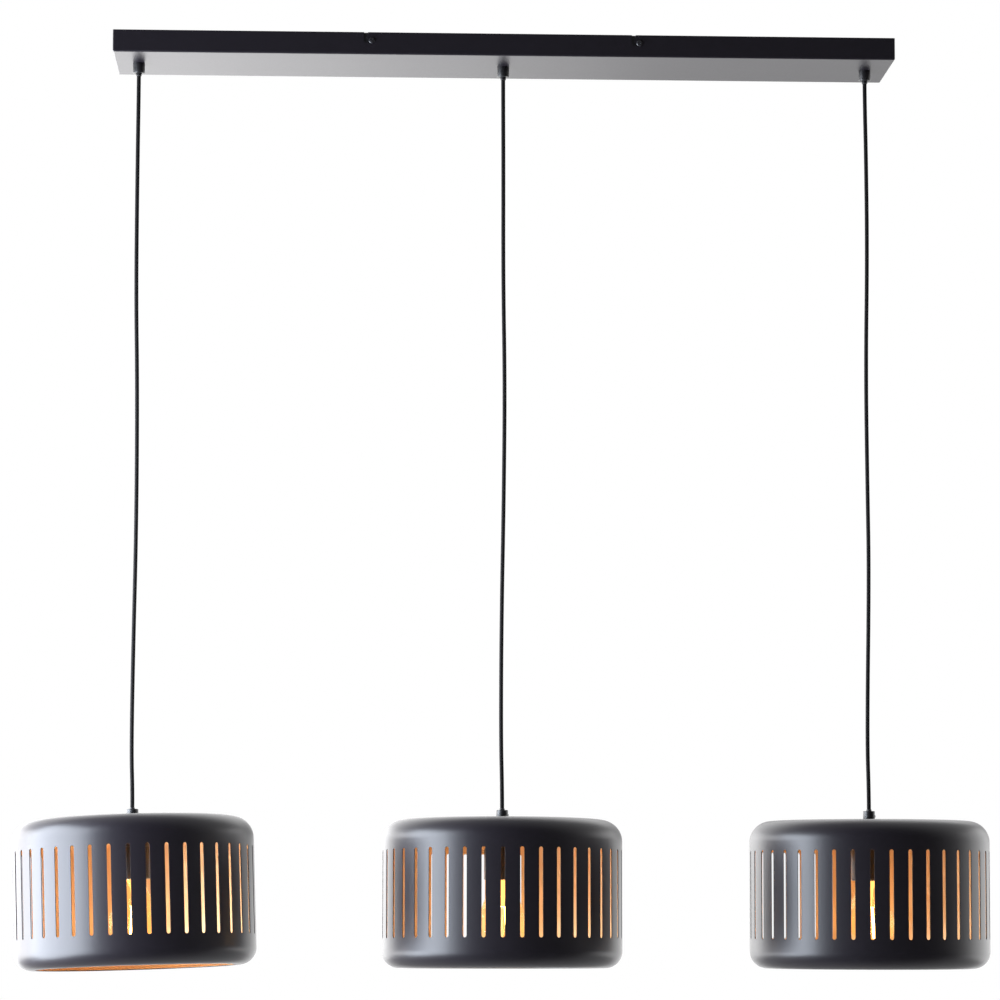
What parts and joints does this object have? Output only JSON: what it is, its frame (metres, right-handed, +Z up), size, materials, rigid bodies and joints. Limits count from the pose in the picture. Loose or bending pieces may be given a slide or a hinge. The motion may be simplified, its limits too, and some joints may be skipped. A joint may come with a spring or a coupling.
{
  "type": "linear island pendant",
  "caption": "Linear pendant lamp: slotted metal drum shades with copper insides hang on cords from a long box canopy screwed to the ceiling.",
  "frame": {"origin": "in the ceiling plane, midway between the two ceiling screw holes and above the middle outlet", "axes": "+X along the canopy, to the right seen from the front; +Y to the back; +Z up"},
  "size_m": [1.1387, 0.2856, 1.0941],
  "materials": {
    "satin_black_powder_coat": "satin black powder coat outside, copper lacquer inside the shades",
    "black_coated_steel": "thin black coat",
    "black_thermoplastic": "smooth moulded black",
    "black_holder_plastic": "smooth moulded black",
    "black_cord_jacket": "soft matt black cord jacket",
    "zinc_plated_steel": "bright zinc plate",
    "brass": "plain brass",
    "white_ceramic": "unglazed white ceramic",
    "clear_bulb_glass": "clear, faintly amber",
    "glowing_light_stick": "glowing warm white",
    "bulb_cap_metal": "bright pressed cap",
    "white_nylon": "moulded white",
    "brown_core": "brown core insulation",
    "blue_core": "blue core insulation",
    "green_yellow_core": "green and yellow core insulation"
  },
  "bodies": {
    "bracket": {"ceiling_bracket": "black_coated_steel", "canopy_screws": "black_coated_steel"},
    "canopy": {"canopy": "satin_black_powder_coat", "canopy_nipples": "zinc_plated_steel", "canopy_fixings": "zinc_plated_steel", "canopy_grips": "black_thermoplastic", "inner_cords": "black_cord_jacket", "live_cores": "brown_core", "neutral_cores": "blue_core", "earth_cores": "green_yellow_core", "terminal_block": "white_nylon", "terminal_clamps": "brass", "earth_stud": "zinc_plated_steel"},
    "exit_left": {"cord_root_left": "black_cord_jacket"},
    "cord_left": {"cord_sleeve_left": "black_thermoplastic", "cord_left": "black_cord_jacket"},
    "tip_left": {"cord_tip_left": "black_thermoplastic"},
    "holder_left": {"shade_grip_left": "black_thermoplastic", "shade_fixings_left": "zinc_plated_steel", "holder_cap_left": "black_holder_plastic", "holder_skirt_left": "black_holder_plastic", "holder_insert_left": "white_ceramic", "holder_contacts_left": "brass"},
    "shade_left": {"shade_left": "satin_black_powder_coat"},
    "bulb_left": {"bulb_cap_left": "bulb_cap_metal", "bulb_glass_left": "clear_bulb_glass", "bulb_stem_left": "clear_bulb_glass", "bulb_sticks_left": "glowing_light_stick"},
    "exit_centre": {"cord_root_centre": "black_cord_jacket"},
    "cord_centre": {"cord_sleeve_centre": "black_thermoplastic", "cord_centre": "black_cord_jacket"},
    "tip_centre": {"cord_tip_centre": "black_thermoplastic"},
    "holder_centre": {"shade_grip_centre": "black_thermoplastic", "shade_fixings_centre": "zinc_plated_steel", "holder_cap_centre": "black_holder_plastic", "holder_skirt_centre": "black_holder_plastic", "holder_insert_centre": "white_ceramic", "holder_contacts_centre": "brass"},
    "shade_centre": {"shade_centre": "satin_black_powder_coat"},
    "bulb_centre": {"bulb_cap_centre": "bulb_cap_metal", "bulb_glass_centre": "clear_bulb_glass", "bulb_stem_centre": "clear_bulb_glass", "bulb_sticks_centre": "glowing_light_stick"},
    "exit_right": {"cord_root_right": "black_cord_jacket"},
    "cord_right": {"cord_sleeve_right": "black_thermoplastic", "cord_right": "black_cord_jacket"},
    "tip_right": {"cord_tip_right": "black_thermoplastic"},
    "holder_right": {"shade_grip_right": "black_thermoplastic", "shade_fixings_right": "zinc_plated_steel", "holder_cap_right": "black_holder_plastic", "holder_skirt_right": "black_holder_plastic", "holder_insert_right": "white_ceramic", "holder_contacts_right": "brass"},
    "shade_right": {"shade_right": "satin_black_powder_coat"},
    "bulb_right": {"bulb_cap_right": "bulb_cap_metal", "bulb_glass_right": "clear_bulb_glass", "bulb_stem_right": "clear_bulb_glass", "bulb_sticks_right": "glowing_light_stick"}
  },
  "joints": [
    {"name": "canopy_unhook", "type": "slide", "parent": "bracket", "child": "canopy", "axis": [1, 0, 0], "range_m": [0, 0.0064]},
    {"name": "side_swing_left", "type": "hinge", "parent": "canopy", "child": "exit_left", "pos_m": [-0.43, 0, -0.0383], "axis": [0, 1, 0], "range_deg": [-3, 3]},
    {"name": "front_swing_left", "type": "hinge", "parent": "exit_left", "child": "cord_left", "pos_m": [-0.43, 0, -0.0383], "axis": [1, 0, 0], "range_deg": [-20, 20]},
    {"name": "height_left", "type": "slide", "parent": "cord_left", "child": "tip_left", "axis": [0, 0, 1], "range_m": [0, 0.5], "deforming": ["cord_left"]},
    {"name": "shade_tilt_left", "type": "hinge", "parent": "tip_left", "child": "holder_left", "pos_m": [-0.43, 0, -0.905], "axis": [0, 1, 0], "range_deg": [-3, 3]},
    {"name": "shade_turn_left", "type": "hinge", "parent": "holder_left", "child": "shade_left", "pos_m": [-0.43, 0, -0.905], "axis": [-0.0331, 0.0349, 0.9988], "range_deg": [-180, 180]},
    {"name": "bulb_out_left", "type": "slide", "parent": "holder_left", "child": "bulb_left", "axis": [0.0331, -0.0349, -0.9988], "range_m": [0, 0.14]},
    {"name": "side_swing_centre", "type": "hinge", "parent": "canopy", "child": "exit_centre", "pos_m": [0, 0, -0.0383], "axis": [0, 1, 0], "range_deg": [-3, 3]},
    {"name": "front_swing_centre", "type": "hinge", "parent": "exit_centre", "child": "cord_centre", "pos_m": [0, 0, -0.0383], "axis": [1, 0, 0], "range_deg": [-20, 20]},
    {"name": "height_centre", "type": "slide", "parent": "cord_centre", "child": "tip_centre", "axis": [0, 0, 1], "range_m": [0, 0.5], "deforming": ["cord_centre"]},
    {"name": "shade_tilt_centre", "type": "hinge", "parent": "tip_centre", "child": "holder_centre", "pos_m": [0, 0, -0.905], "axis": [0, 1, 0], "range_deg": [-3, 3]},
    {"name": "shade_turn_centre", "type": "hinge", "parent": "holder_centre", "child": "shade_centre", "pos_m": [0, 0, -0.905], "axis": [0, 0.0175, 0.9998], "range_deg": [-180, 180]},
    {"name": "bulb_out_centre", "type": "slide", "parent": "holder_centre", "child": "bulb_centre", "axis": [0, -0.0175, -0.9998], "range_m": [0, 0.14]},
    {"name": "side_swing_right", "type": "hinge", "parent": "canopy", "child": "exit_right", "pos_m": [0.43, 0, -0.0383], "axis": [0, 1, 0], "range_deg": [-3, 3]},
    {"name": "front_swing_right", "type": "hinge", "parent": "exit_right", "child": "cord_right", "pos_m": [0.43, 0, -0.0383], "axis": [1, 0, 0], "range_deg": [-20, 20]},
    {"name": "height_right", "type": "slide", "parent": "cord_right", "child": "tip_right", "axis": [0, 0, 1], "range_m": [0, 0.5], "deforming": ["cord_right"]},
    {"name": "shade_tilt_right", "type": "hinge", "parent": "tip_right", "child": "holder_right", "pos_m": [0.43, 0, -0.905], "axis": [0, 1, 0], "range_deg": [-3, 3]},
    {"name": "shade_turn_right", "type": "hinge", "parent": "holder_right", "child": "shade_right", "pos_m": [0.43, 0, -0.905], "axis": [0, 0, 1], "range_deg": [-180, 180]},
    {"name": "bulb_out_right", "type": "slide", "parent": "holder_right", "child": "bulb_right", "axis": [0, 0, -1], "range_m": [0, 0.14]}
  ]
}
